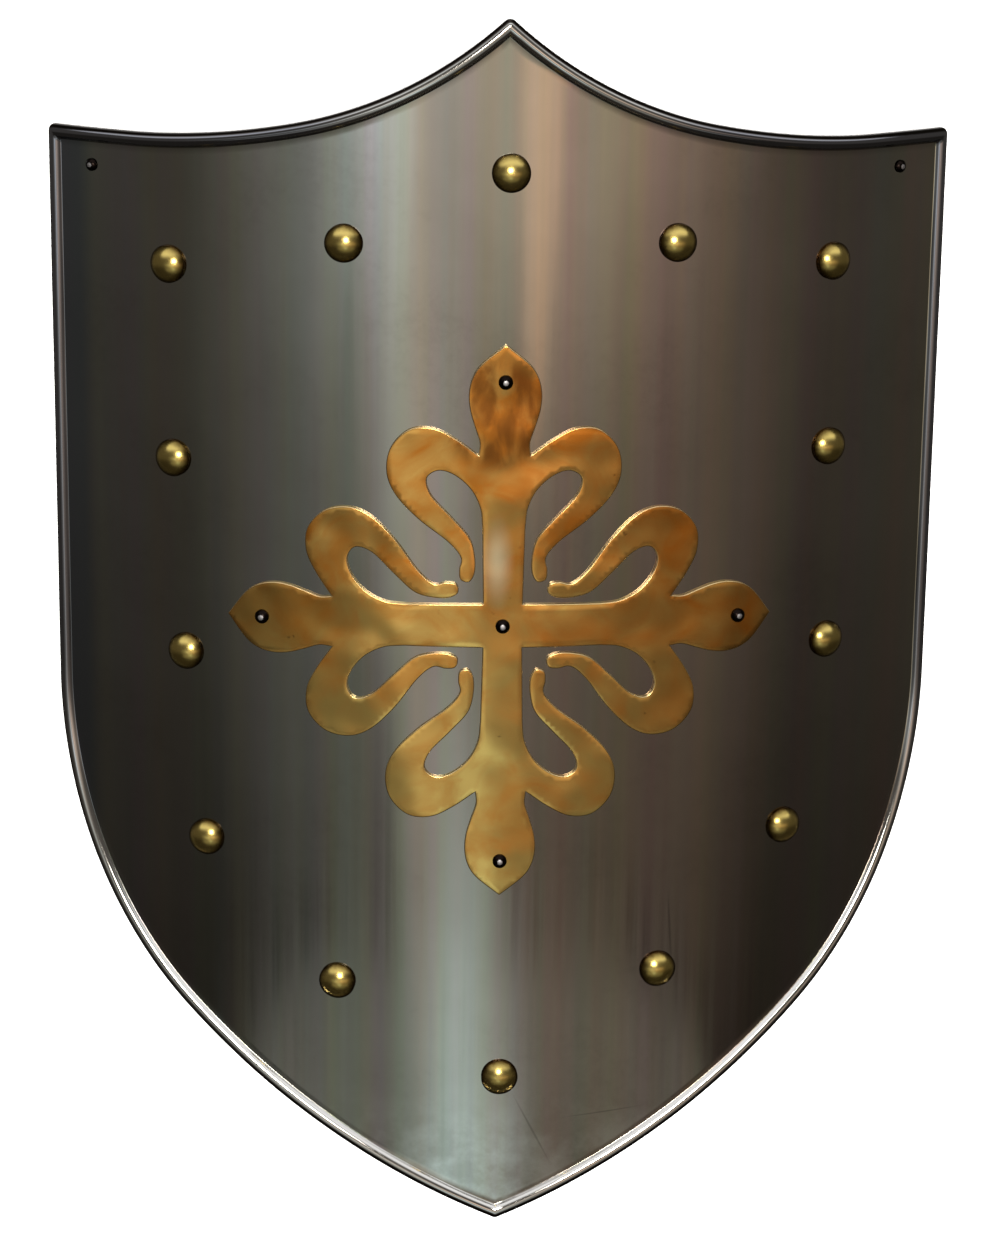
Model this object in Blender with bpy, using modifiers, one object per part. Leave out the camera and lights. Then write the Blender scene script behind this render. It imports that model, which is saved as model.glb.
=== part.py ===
"""Steel heater shield with a rolled rim, a riveted brass cross and brass nails.

The shield lies face up on its two straight sides.  X runs across it, Y runs from
its point to its peak and Z is up.  Units are metres.
"""
import bmesh
import bpy
from math import acos, cos, pi, radians, sin, sqrt
from mathutils import Matrix, Vector

MM = 0.001

# The steel sheet is one plain curve across, like a piece of a wide tube.
SHEET_RADIUS = 385.0 * MM
SHEET_THICK = 1.2 * MM
RIM_RADIUS = 3.8 * MM
REST_FLAT_DEPTH = 0.5 * MM

# The outline is laid out on the flat sheet, from the middle of the cross:
# across is measured along the curve, along runs towards the peak.
HALF_WIDTH = 236.3 * MM
CORNER_ALONG = 236.6 * MM
SIDE_END_ALONG = -44.3 * MM
SHOULDER_RADIUS = 231.0 * MM
SHOULDER_TURN = radians(46.9)
FLANK_RADIUS = 578.6 * MM
TOP_LEVEL = 44.2 * MM
TOP_OUTER_RADIUS = 436.5 * MM
TOP_OUTER_TURN = radians(11.8)
TOP_INNER_RADIUS = 221.2 * MM
HALF_COLUMNS = 16

# The cross is one sheet of brass.  Its knots are (along the arm, out to one side).
CROSS_THICK = 1.5 * MM
CROSS_WIDE = 0.988
CROSS_TALL = 1.013
SLICE_WIDTH = 20.0 * MM
SLICE_SNAP = 0.001 * MM
KNOT_STEPS = 2
UPRIGHT_HALF = 10.0
CROSSBAR_HALF = 11.2
LOOP_KNOTS = (
    (50.0, 10.8), (60.0, 12.0), (69.5, 16.8), (76.5, 25.0), (78.6, 33.0), (74.5, 38.7),
    (66.0, 36.3), (55.0, 26.0), (45.0, 17.2), (36.0, 14.4), (27.5, 14.3), (22.6, 17.0),
    (23.6, 21.4), (28.5, 22.2), (35.0, 21.5), (43.0, 28.2), (54.0, 42.8), (66.0, 54.4),
    (77.5, 59.0), (90.0, 56.8), (99.0, 47.5), (99.8, 35.5), (94.5, 24.3), (86.6, 13.0),
)
PETAL_KNOTS = (
    (86.6, 13.0), (93.0, 12.6), (101.0, 15.2), (109.0, 17.5), (117.0, 18.2),
    (125.0, 16.5), (132.0, 11.8), (141.4, 0.0),
)
ARM_RIVET = 123.0

# Fastenings.  Spots are (across, along) on the flat sheet, in millimetres.
FIT_GAP = 0.3 * MM
NAIL_SPOTS = {
    "nail_top_middle": (1.5, 227.5),
    "nail_top_left": (-79.8, 191.6),
    "nail_top_right": (84.6, 192.2),
    "nail_corner_left": (-170.8, 175.8),
    "nail_corner_right": (170.2, 178.2),
    "nail_upper_left": (-169.5, 77.5),
    "nail_upper_right": (171.5, 83.3),
    "nail_side_left": (-163.6, -22.8),
    "nail_side_right": (174.3, -18.9),
    "nail_lower_left": (-153.1, -121.6),
    "nail_lower_right": (152.5, -116.9),
    "nail_flank_left": (-82.9, -193.2),
    "nail_flank_right": (83.7, -188.1),
    "nail_bottom_middle": (1.4, -244.1),
}
CORNER_RIVET_SPOTS = {
    "corner_rivet_left": (-214.0, 221.6),
    "corner_rivet_right": (209.4, 222.7),
}
NAIL_RADIUS = 9.5 * MM
NAIL_HEIGHT = 5.6 * MM
NAIL_LIP = 0.8 * MM
NAIL_SHANK = 1.8 * MM
CROSS_RIVET_RADIUS = 3.6 * MM
CROSS_RIVET_HEIGHT = 2.5 * MM
CORNER_RIVET_RADIUS = 3.2 * MM
CORNER_RIVET_HEIGHT = 2.2 * MM
RIVET_LIP = 0.4 * MM
RIVET_SHANK = 1.5 * MM
TAIL_RADIUS = 3.0 * MM
TAIL_HEIGHT = 1.4 * MM
LIP_UNDERCUT = 0.3
TAIL_TAPER = 0.7
DOME_RINGS = 4
NAIL_SIDES = 12
RIVET_SIDES = 10
HOLE_SIDES = 12

# The rim path keeps clear of its four corners by this much, so its tube stays round.
RIM_EASE = 1.5 * RIM_RADIUS
HOLE_CUT_DEPTH = 8.0 * SHEET_THICK
GROUND_DEPTH = 20.0 * MM
SLIVER_WELD = 0.02 * MM
CAP_WELD = 0.01 * MM
FLAT_ANGLE = radians(0.5)


def bottom_edge(across):
    """Height along of the lower outline: a shoulder arc, then a flatter flank arc."""
    reach = abs(across)
    shoulder_centre = HALF_WIDTH - SHOULDER_RADIUS
    shoulder_end = shoulder_centre + SHOULDER_RADIUS * cos(SHOULDER_TURN)
    if reach >= shoulder_end:
        rise = sqrt(max(SHOULDER_RADIUS ** 2 - (reach - shoulder_centre) ** 2, 0.0))
        return SIDE_END_ALONG - rise
    step = FLANK_RADIUS - SHOULDER_RADIUS
    flank_centre = shoulder_centre - step * cos(SHOULDER_TURN)
    base = SIDE_END_ALONG + step * sin(SHOULDER_TURN)
    return base - sqrt(FLANK_RADIUS ** 2 - (reach - flank_centre) ** 2)


def top_edge(across):
    """Height along of the upper outline: level at the corner, then two rising arcs."""
    inward = HALF_WIDTH - TOP_LEVEL - abs(across)
    if inward <= 0.0:
        return CORNER_ALONG
    outer_reach = TOP_OUTER_RADIUS * sin(TOP_OUTER_TURN)
    if inward <= outer_reach:
        return CORNER_ALONG + TOP_OUTER_RADIUS - sqrt(TOP_OUTER_RADIUS ** 2 - inward ** 2)
    step = TOP_OUTER_RADIUS - TOP_INNER_RADIUS
    centre = step * sin(TOP_OUTER_TURN)
    base = CORNER_ALONG + TOP_OUTER_RADIUS - step * cos(TOP_OUTER_TURN)
    return base - sqrt(TOP_INNER_RADIUS ** 2 - (inward - centre) ** 2)


# The crown height lets the rolled rim of both sides touch the ground plane,
# and the shift puts the middle of the shield's length at Y = 0.
SIDE_DROP = SHEET_RADIUS * (1.0 - cos(HALF_WIDTH / SHEET_RADIUS))
CROWN_HEIGHT = SIDE_DROP + RIM_RADIUS - REST_FLAT_DEPTH
LENGTH_SHIFT = -0.5 * (top_edge(0.0) + bottom_edge(0.0))


def bend(across, along, height=0.0):
    """Carry a point of the flat sheet onto the curve; height is off its middle."""
    turn = across / SHEET_RADIUS
    radius = SHEET_RADIUS + height
    drop = radius * cos(turn) - SHEET_RADIUS
    return Vector((radius * sin(turn), along + LENGTH_SHIFT, CROWN_HEIGHT + drop))


def column_lines():
    """Across values of the sheet's columns, closer together near the sides."""
    count = HALF_COLUMNS
    return [HALF_WIDTH * sin(0.5 * pi * i / count) for i in range(-count, count + 1)]


def make_material(name, colour, roughness, metallic):
    material = bpy.data.materials.new(name)
    material.use_nodes = True
    shader = material.node_tree.nodes["Principled BSDF"]
    shader.inputs["Base Color"].default_value = (*colour, 1.0)
    shader.inputs["Roughness"].default_value = roughness
    shader.inputs["Metallic"].default_value = metallic
    material.diffuse_color = (*colour, 1.0)
    return material


def add_object(name, mesh, collection, material=None):
    piece = bpy.data.objects.new(name, mesh)
    collection.objects.link(piece)
    if material is not None:
        mesh.materials.clear()
        mesh.materials.append(material)
    return piece


def mark_as_cutter(piece):
    piece.hide_render = True
    piece.display_type = 'WIRE'


def mesh_from_curve(curve_piece, name):
    """The curve's evaluated surface as a mesh in world space, its caps welded on."""
    view = bpy.context.evaluated_depsgraph_get()
    mesh = bpy.data.meshes.new_from_object(curve_piece.evaluated_get(view))
    mesh.transform(curve_piece.matrix_world)
    mesh.name = name
    work = bmesh.new()
    work.from_mesh(mesh)
    bmesh.ops.remove_doubles(work, verts=work.verts, dist=CAP_WELD)
    work.to_mesh(mesh)
    work.free()
    curve = curve_piece.data
    bpy.data.objects.remove(curve_piece)
    bpy.data.curves.remove(curve)
    return mesh


def curve_from_loops(name, loops, collection, dimensions):
    """Closed straight-sided loops as one curve object."""
    curve = bpy.data.curves.new(name, 'CURVE')
    curve.dimensions = dimensions
    for loop in loops:
        spline = curve.splines.new('POLY')
        spline.points.add(len(loop) - 1)
        for point, place in zip(spline.points, loop):
            point.co = (place[0], place[1], place[2], 1.0)
        spline.use_cyclic_u = True
    piece = bpy.data.objects.new(name, curve)
    collection.objects.link(piece)
    return piece


def half_rim_path():
    """Flat places of the rolled rim from the peak round one side to the point."""
    half = column_lines()[HALF_COLUMNS:]
    inner = [across for across in half if RIM_EASE < across < HALF_WIDTH - RIM_EASE]
    reach = [0.0, RIM_EASE] + inner + [HALF_WIDTH - RIM_EASE, HALF_WIDTH]
    top = [(across, top_edge(across)) for across in reach]
    side = [(HALF_WIDTH, CORNER_ALONG - RIM_EASE)]
    low = [(across, bottom_edge(across)) for across in [0.0, RIM_EASE] + half[1:]]
    return top + side + list(reversed(low))


def make_rim(name, collection):
    """The rolled rim: one closed round tube all the way round the outline."""
    right = half_rim_path()
    left = [(-across, along) for across, along in reversed(right[1:-1])]
    places = [bend(across, along) for across, along in right + left]
    piece = curve_from_loops(name, [places], collection, '3D')
    piece.data.bevel_depth = RIM_RADIUS
    piece.data.bevel_resolution = 2
    bpy.context.view_layer.update()
    tube = add_object(name, mesh_from_curve(piece, name), collection)
    mark_as_cutter(tube)
    return tube


def make_sheet(name, collection, material):
    """The curved steel sheet: a grid moved onto the outline, then thickened."""
    columns = column_lines()
    mesh = bpy.data.meshes.new(name)
    work = bmesh.new()
    bmesh.ops.create_grid(work, x_segments=len(columns) - 1, y_segments=1, size=1.0)
    for vertex in work.verts:
        index = round((vertex.co.x + 1.0) * 0.5 * (len(columns) - 1))
        across = columns[index]
        along = top_edge(across) if vertex.co.y > 0.0 else bottom_edge(across)
        vertex.co = bend(across, along)
    work.to_mesh(mesh)
    work.free()
    sheet = add_object(name, mesh, collection, material)
    solid = sheet.modifiers.new("thickness", 'SOLIDIFY')
    solid.thickness = SHEET_THICK
    solid.offset = 0.0
    solid.use_even_offset = True
    return sheet


def make_hole_cutter(spots, collection):
    """One rod for each shank, square to the curved sheet, all in one cutter."""
    mesh = bpy.data.meshes.new("shank_holes")
    work = bmesh.new()
    for across, along, radius in spots:
        place = Matrix.Translation(bend(across, along))
        tilt = Matrix.Rotation(across / SHEET_RADIUS, 4, 'Y')
        bmesh.ops.create_cone(
            work, cap_ends=True, segments=HOLE_SIDES, radius1=radius, radius2=radius,
            depth=HOLE_CUT_DEPTH, matrix=place @ tilt)
    work.to_mesh(mesh)
    work.free()
    cutter = add_object("shank_holes", mesh, collection)
    mark_as_cutter(cutter)
    return cutter


def make_ground_cutter(collection):
    """A block below the ground plane, which flattens the rim where it rests."""
    mesh = bpy.data.meshes.new("ground_block")
    work = bmesh.new()
    size = Matrix.Diagonal((1.0, 1.0, GROUND_DEPTH, 1.0))
    place = Matrix.Translation((0.0, 0.0, -0.5 * GROUND_DEPTH))
    bmesh.ops.create_cube(work, size=1.0, matrix=place @ size)
    work.to_mesh(mesh)
    work.free()
    block = add_object("ground_block", mesh, collection)
    mark_as_cutter(block)
    return block


def add_boolean(piece, other, operation):
    """One cut or join, then a fine weld of the slivers that it leaves."""
    change = piece.modifiers.new(other.name, 'BOOLEAN')
    change.operation = operation
    change.solver = 'EXACT'
    change.object = other
    weld = piece.modifiers.new(other.name + "_weld", 'WELD')
    weld.merge_threshold = SLIVER_WELD


def smooth_run(knots, steps):
    """Points of a Catmull-Rom curve through the knots, its last knot left out."""
    places = [Vector(knot) for knot in knots]
    places = [places[0] * 2.0 - places[1]] + places + [places[-1] * 2.0 - places[-2]]
    run = []
    for before, start, end, after in zip(places, places[1:], places[2:], places[3:]):
        for i in range(steps):
            t = i / steps
            pull = (end - before) * 0.5
            push = (after - start) * 0.5
            run.append((2 * t ** 3 - 3 * t ** 2 + 1) * start + (t ** 3 - 2 * t ** 2 + t) * pull
                       + (3 * t ** 2 - 2 * t ** 3) * end + (t ** 3 - t ** 2) * push)
    return run


def cross_outline():
    """The flat cross: one half arm, mirrored and turned to all four sides."""
    half_arm = smooth_run(LOOP_KNOTS, KNOT_STEPS) + smooth_run(PETAL_KNOTS, KNOT_STEPS)
    tip = Vector(PETAL_KNOTS[-1])
    outline = []
    for quarter in range(4):
        upright = quarter % 2 == 0
        arm_half = UPRIGHT_HALF if upright else CROSSBAR_HALF
        other_half = CROSSBAR_HALF if upright else UPRIGHT_HALF
        root = Vector((other_half, arm_half))
        up_left = [Vector((p.x, -p.y)) for p in half_arm]
        down_right = list(reversed([root] + half_arm))
        turn = Matrix.Rotation(-0.5 * pi * quarter, 2)
        for place in up_left + [tip] + down_right:
            outline.append(turn @ Vector((place.y, place.x)))
    return [(CROSS_WIDE * p.x * MM, CROSS_TALL * p.y * MM) for p in outline]


def circle(across, along, radius):
    turns = [2.0 * pi * i / HOLE_SIDES for i in range(HOLE_SIDES)]
    return [(across + radius * cos(t), along + radius * sin(t), 0.0) for t in turns]


def make_cross(name, rivet_spots, collection, material):
    """Flat brass cross with its rivet holes, sliced along and bent to the sheet."""
    loops = [[(x, y, 0.0) for x, y in cross_outline()]]
    for across, along in rivet_spots:
        loops.append(circle(across, along, RIVET_SHANK + FIT_GAP))
    piece = curve_from_loops(name, loops, collection, '2D')
    piece.data.fill_mode = 'BOTH'
    piece.data.extrude = 0.5 * CROSS_THICK
    bpy.context.view_layer.update()
    mesh = mesh_from_curve(piece, name)
    work = bmesh.new()
    work.from_mesh(mesh)
    bmesh.ops.dissolve_limit(
        work, angle_limit=FLAT_ANGLE, verts=work.verts[:], edges=work.edges[:])
    reach = max(abs(vertex.co.x) for vertex in work.verts)
    slices = int(reach / SLICE_WIDTH)
    for i in range(-slices, slices + 1):
        everything = work.verts[:] + work.edges[:] + work.faces[:]
        bmesh.ops.bisect_plane(
            work, geom=everything, dist=SLICE_SNAP,
            plane_co=(i * SLICE_WIDTH, 0.0, 0.0), plane_no=(1.0, 0.0, 0.0))
    middle = 0.5 * SHEET_THICK + FIT_GAP + 0.5 * CROSS_THICK
    for vertex in work.verts:
        vertex.co = bend(vertex.co.x, vertex.co.y, middle + vertex.co.z)
    bmesh.ops.triangulate(work, faces=work.faces[:])
    bmesh.ops.recalc_face_normals(work, faces=work.faces[:])
    work.to_mesh(mesh)
    work.free()
    return add_object(name, mesh, collection, material)


def fastener_profile(radius, height, lip, shank, grip):
    """Half section of a domed head, its shank and the peened tail behind the sheet."""
    cap = height - lip
    ball = (radius ** 2 + cap ** 2) / (2.0 * cap)
    spread = acos((ball - cap) / ball)
    points = []
    for i in range(DOME_RINGS + 1):
        turn = spread * i / DOME_RINGS
        points.append((ball * sin(turn), height - ball * (1.0 - cos(turn))))
    points.append((radius - LIP_UNDERCUT * lip, 0.0))
    points.append((shank, 0.0))
    points.append((shank, -grip))
    points.append((TAIL_RADIUS, -grip))
    points.append((TAIL_TAPER * TAIL_RADIUS, -grip - TAIL_HEIGHT))
    points.append((0.0, -grip - TAIL_HEIGHT))
    return points


def profile_mesh(name, points):
    """The half section as an open line of edges at +X, ready for a Screw modifier."""
    mesh = bpy.data.meshes.new(name)
    work = bmesh.new()
    places = [work.verts.new((x, 0.0, z)) for x, z in points]
    for start, end in zip(places, places[1:]):
        work.edges.new((start, end))
    work.to_mesh(mesh)
    work.free()
    return mesh


def place_fastener(name, mesh, sides, across, along, height, collection, material):
    piece = add_object(name, mesh, collection, material)
    piece.location = bend(across, along, height)
    piece.rotation_euler = (0.0, across / SHEET_RADIUS, 0.0)
    spin = piece.modifiers.new("turned", 'SCREW')
    spin.axis = 'Z'
    spin.steps = sides
    spin.render_steps = sides
    spin.use_merge_vertices = True
    spin.merge_threshold = CAP_WELD
    spin.use_smooth_shade = True
    spin.use_normal_calculate = True
    return piece


def main():
    for item in list(bpy.data.objects):
        bpy.data.objects.remove(item)
    shield = bpy.data.collections.new("heater_shield")
    cutters = bpy.data.collections.new("cutters")
    bpy.context.scene.collection.children.link(shield)
    bpy.context.scene.collection.children.link(cutters)

    steel = make_material("polished_steel", (0.20, 0.19, 0.18), 0.30, 1.0)
    brass = make_material("rolled_brass", (0.56, 0.33, 0.09), 0.28, 1.0)
    nail_brass = make_material("aged_nail_brass", (0.42, 0.32, 0.12), 0.30, 1.0)
    black = make_material("blackened_rivet", (0.015, 0.014, 0.013), 0.25, 0.6)

    cross_spots = {
        "cross_rivet_middle": (0.0, 0.0),
        "cross_rivet_top": (0.0, CROSS_TALL * ARM_RIVET * MM),
        "cross_rivet_bottom": (0.0, -CROSS_TALL * ARM_RIVET * MM),
        "cross_rivet_left": (-CROSS_WIDE * ARM_RIVET * MM, 0.0),
        "cross_rivet_right": (CROSS_WIDE * ARM_RIVET * MM, 0.0),
    }
    corner_spots = {name: (x * MM, y * MM) for name, (x, y) in CORNER_RIVET_SPOTS.items()}
    nail_spots = {name: (x * MM, y * MM) for name, (x, y) in NAIL_SPOTS.items()}

    sheet = make_sheet("shield_plate", shield, steel)
    add_boolean(sheet, make_rim("rolled_rim", cutters), 'UNION')
    holes = [(x, y, NAIL_SHANK + FIT_GAP) for x, y in nail_spots.values()]
    holes += [(x, y, RIVET_SHANK + FIT_GAP) for x, y in cross_spots.values()]
    holes += [(x, y, RIVET_SHANK + FIT_GAP) for x, y in corner_spots.values()]
    add_boolean(sheet, make_hole_cutter(holes, cutters), 'DIFFERENCE')
    add_boolean(sheet, make_ground_cutter(cutters), 'DIFFERENCE')

    make_cross("brass_cross", cross_spots.values(), shield, brass)

    on_sheet = 0.5 * SHEET_THICK + FIT_GAP
    on_cross = on_sheet + CROSS_THICK + FIT_GAP
    through_sheet = SHEET_THICK + 2.0 * FIT_GAP
    through_both = through_sheet + CROSS_THICK + FIT_GAP

    nail = profile_mesh("nail", fastener_profile(
        NAIL_RADIUS, NAIL_HEIGHT, NAIL_LIP, NAIL_SHANK, through_sheet))
    for name, (across, along) in nail_spots.items():
        place_fastener(name, nail, NAIL_SIDES, across, along, on_sheet, shield, nail_brass)

    long_rivet = profile_mesh("long_rivet", fastener_profile(
        CROSS_RIVET_RADIUS, CROSS_RIVET_HEIGHT, RIVET_LIP, RIVET_SHANK, through_both))
    for name, (across, along) in cross_spots.items():
        place_fastener(name, long_rivet, RIVET_SIDES, across, along, on_cross, shield, black)

    short_rivet = profile_mesh("short_rivet", fastener_profile(
        CORNER_RIVET_RADIUS, CORNER_RIVET_HEIGHT, RIVET_LIP, RIVET_SHANK, through_sheet))
    for name, (across, along) in corner_spots.items():
        place_fastener(name, short_rivet, RIVET_SIDES, across, along, on_sheet, shield, black)


main()
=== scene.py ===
# %% [markdown]
# A heater shield is a sheet of steel cut to the shape of a flat iron and bent to a plain curve.
# This one has its edge rolled over a wire all round, a brass cross with curled hooks riveted to its
# middle, and domed brass nails that are peened over behind the sheet.  It lies face up here.
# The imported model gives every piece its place; this script gives each one its fine surface.

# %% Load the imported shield
import math

import bmesh
import bpy
import numpy as np
from mathutils import Matrix, Vector, geometry


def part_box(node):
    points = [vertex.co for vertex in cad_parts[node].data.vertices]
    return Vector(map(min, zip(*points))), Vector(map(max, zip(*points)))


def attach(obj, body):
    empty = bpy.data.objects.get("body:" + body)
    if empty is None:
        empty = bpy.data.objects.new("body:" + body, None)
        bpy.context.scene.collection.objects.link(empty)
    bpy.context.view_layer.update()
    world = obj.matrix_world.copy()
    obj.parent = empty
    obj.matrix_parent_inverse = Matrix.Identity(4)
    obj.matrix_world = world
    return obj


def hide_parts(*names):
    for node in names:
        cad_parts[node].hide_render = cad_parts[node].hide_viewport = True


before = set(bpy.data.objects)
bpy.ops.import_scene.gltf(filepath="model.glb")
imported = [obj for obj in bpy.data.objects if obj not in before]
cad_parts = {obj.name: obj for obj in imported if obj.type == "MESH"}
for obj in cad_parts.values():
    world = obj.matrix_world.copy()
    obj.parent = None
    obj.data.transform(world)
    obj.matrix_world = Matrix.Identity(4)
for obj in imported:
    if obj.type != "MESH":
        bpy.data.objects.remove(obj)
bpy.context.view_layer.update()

MM = 0.001
print("pieces in the packed model:", len(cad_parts))

# %% [markdown]
# A real sheet like this is bent in rolls, which give it one radius from side to side and leave it
# straight from peak to point.  So it is drawn flat first, as it was cut, with two measures: across
# (along the curve) and along (towards the peak).  One function then carries any flat point onto the
# curve.  That keeps the outline, the cross and the nails easy to lay out, and the bend the same for all.

# %% The curve of the sheet
SHEET_RADIUS = 385.0 * MM
SHEET_THICK = 1.2 * MM
RIM_RADIUS = 3.8 * MM
BEAD_RADIUS = 3.58 * MM
HALF_WIDTH = 236.3 * MM
CORNER_ALONG = 236.6 * MM
SIDE_END_ALONG = -44.3 * MM
SHOULDER_RADIUS = 231.0 * MM
SHOULDER_TURN = math.radians(46.9)
FLANK_RADIUS = 578.6 * MM
TOP_LEVEL = 44.2 * MM
TOP_OUTER_RADIUS = 436.5 * MM
TOP_OUTER_TURN = math.radians(11.8)
TOP_INNER_RADIUS = 221.2 * MM


def bottom_edge(across):
    """Lower outline: a shoulder arc from the side, then a flatter arc that is tangent to it."""
    reach = np.abs(across)
    shoulder = HALF_WIDTH - SHOULDER_RADIUS
    rise = np.sqrt(np.maximum(SHOULDER_RADIUS ** 2 - (reach - shoulder) ** 2, 0.0))
    step = FLANK_RADIUS - SHOULDER_RADIUS
    flank = shoulder - step * math.cos(SHOULDER_TURN)
    fall = np.sqrt(FLANK_RADIUS ** 2 - (reach - flank) ** 2)
    low = SIDE_END_ALONG + step * math.sin(SHOULDER_TURN) - fall
    on_shoulder = reach >= shoulder + SHOULDER_RADIUS * math.cos(SHOULDER_TURN)
    return np.where(on_shoulder, SIDE_END_ALONG - rise, low)


def top_edge(across):
    """Upper outline: level at the corner, then two hollow arcs that rise to the peak."""
    inward = np.maximum(HALF_WIDTH - TOP_LEVEL - np.abs(across), 0.0)
    outer = CORNER_ALONG + TOP_OUTER_RADIUS - np.sqrt(TOP_OUTER_RADIUS ** 2 - inward ** 2)
    step = TOP_OUTER_RADIUS - TOP_INNER_RADIUS
    base = CORNER_ALONG + TOP_OUTER_RADIUS - step * math.cos(TOP_OUTER_TURN)
    centre = step * math.sin(TOP_OUTER_TURN)
    inside = TOP_INNER_RADIUS ** 2 - (inward - centre) ** 2
    inner = base - np.sqrt(np.maximum(inside, 0.0))
    return np.where(inward <= TOP_OUTER_RADIUS * math.sin(TOP_OUTER_TURN), outer, inner)


LENGTH_SHIFT = -0.5 * float(top_edge(0.0) + bottom_edge(0.0))
CROWN_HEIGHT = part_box("shield_plate")[1].z - RIM_RADIUS
print("crown of the sheet above the floor: %.1f mm" % (CROWN_HEIGHT / MM))

# %% [markdown]
# No rolled sheet is perfectly true.  Light on polished metal shows hollows far too small to measure,
# and they are what makes it look like metal and not like plastic.  Three long waves are added to the
# height of everything.  They only ever lower it, by 0.14 mm at most, so the sheet stays within its
# true curve, and they fade out towards the rolled edge, which holds the sheet straight.

# %% Faint hollows left by the rolls
WAVE_HEIGHT = 0.04 * MM
WIDE_WAVE = 0.6
FINE_WAVE = 0.2
SLANT_WAVE = 0.9
# A stride is the length of a wave over two pi.
WIDE_STRIDE = 17.0 * MM
FINE_STRIDE = 9.5 * MM
SLANT_STRIDE = 48.0 * MM


def sheet_wave(across, along):
    """Three slow sines less their greatest sum, times a hump that is nil at the edge: never above nil."""
    long = top_edge(across) - bottom_edge(across)
    share = np.clip((along - bottom_edge(across)) / np.maximum(long, MM), 0.0, 1.0)
    hump = np.clip(4.0 * share * (1.0 - share), 0.0, 1.0) ** 0.7
    hump = hump * np.clip(1.0 - (across / HALF_WIDTH) ** 4, 0.0, 1.0)
    wave = WIDE_WAVE * np.sin(across / WIDE_STRIDE + 0.8 * np.sin(along / (70.0 * MM)))
    wave = wave + FINE_WAVE * np.sin(across / FINE_STRIDE + 1.7 + 0.5 * np.sin(along / (110.0 * MM)))
    wave = wave + SLANT_WAVE * np.sin((along + 0.4 * across) / SLANT_STRIDE + 0.6)
    return WAVE_HEIGHT * hump * (wave - WIDE_WAVE - FINE_WAVE - SLANT_WAVE)


def bend(across, along, height):
    """Carry flat points onto the curve; height is measured off the middle of the sheet."""
    reach = SHEET_RADIUS + height + sheet_wave(across, along)
    turn = across / SHEET_RADIUS
    x = reach * np.sin(turn)
    z = CROWN_HEIGHT - SHEET_RADIUS + reach * np.cos(turn)
    return np.stack(np.broadcast_arrays(x, along + LENGTH_SHIFT, z), axis=-1)


# %% [markdown]
# Every new piece is an array of points and an array of faces.  This helper turns them into a mesh,
# joins the points that fall on each other, such as those of a seam, and shades the result smooth.
# Numbers kept on each point, such as how near it is to an edge, go in as attributes, which the
# materials can read.

# %% From arrays to a piece
JOIN_DISTANCE = 0.0005 * MM


def grid_faces(rows, columns):
    """Four corners of each cell of a rows by columns grid of points."""
    corner = np.arange(rows * columns).reshape(rows, columns)
    cells = [corner[:-1, :-1], corner[:-1, 1:], corner[1:, 1:], corner[1:, :-1]]
    return np.stack(cells, axis=-1).reshape(-1, 4)


def make_piece(name, parts, attributes=()):
    """Join (points, faces, values) parts into one closed mesh object at the origin."""
    points, faces, values, start = [], [], [], 0
    for part_points, part_faces, part_values in parts:
        flat = np.asarray(part_points, float).reshape(-1, 3)
        points.append(flat)
        faces += (np.asarray(part_faces) + start).tolist()
        values.append(np.asarray(part_values, np.float32).reshape(len(flat), -1))
        start += len(flat)
    mesh = bpy.data.meshes.new(name)
    mesh.from_pydata(np.concatenate(points).tolist(), [], faces)
    for column, attribute in enumerate(attributes):
        layer = mesh.attributes.new(attribute, 'FLOAT', 'POINT')
        layer.data.foreach_set("value", np.concatenate(values)[:, column].copy())
    work = bmesh.new()
    work.from_mesh(mesh)
    bmesh.ops.remove_doubles(work, verts=work.verts, dist=JOIN_DISTANCE)
    bmesh.ops.dissolve_degenerate(work, edges=work.edges, dist=JOIN_DISTANCE)
    bmesh.ops.recalc_face_normals(work, faces=work.faces)
    open_edges = sum(1 for edge in work.edges if len(edge.link_faces) != 2)
    work.to_mesh(mesh)
    work.free()
    mesh.shade_smooth()
    mesh.validate()
    piece = bpy.data.objects.new(name, mesh)
    bpy.context.scene.collection.objects.link(piece)
    triangles = sum(len(face.vertices) - 2 for face in mesh.polygons)
    print("%s: %d triangles, %d open edges" % (name, triangles, open_edges))
    return piece


# %% [markdown]
# The outline is walked once round, the way the sheet was cut.  At each point the path knows which
# way is outwards.  At the peak, the point and the two corners the outward direction jumps, so those
# four places get a fan of directions, and the rolled edge turns them like a ball joint.

# %% Walk round the outline
COLUMNS = 144
ROWS = 120
FAN_STEPS = 8
SHARP_TURN = math.radians(15.0)


def outline_runs():
    """Six smooth runs of (across, along) points, anticlockwise from the end of the left side."""
    spread = HALF_WIDTH * np.sin(np.linspace(-0.5, 0.5, COLUMNS + 1) * math.pi)
    half = COLUMNS // 2
    low = np.stack([spread, bottom_edge(spread)], axis=-1)
    high = np.stack([spread, top_edge(spread)], axis=-1)[::-1]
    side = np.linspace(SIDE_END_ALONG, CORNER_ALONG, ROWS + 1)
    right = np.stack([np.full(ROWS + 1, HALF_WIDTH), side], axis=-1)
    left = np.stack([np.full(ROWS + 1, -HALF_WIDTH), side[::-1]], axis=-1)
    return [low[:half + 1], low[half:], right, high[:half + 1], high[half:], left]


def outward(run):
    """Unit directions along a run and square to it on its right, from differences of its points."""
    step = np.gradient(run, axis=0, edge_order=2)
    step /= np.linalg.norm(step, axis=1, keepdims=True)
    return step, np.stack([step[:, 1], -step[:, 0]], axis=-1)


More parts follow.
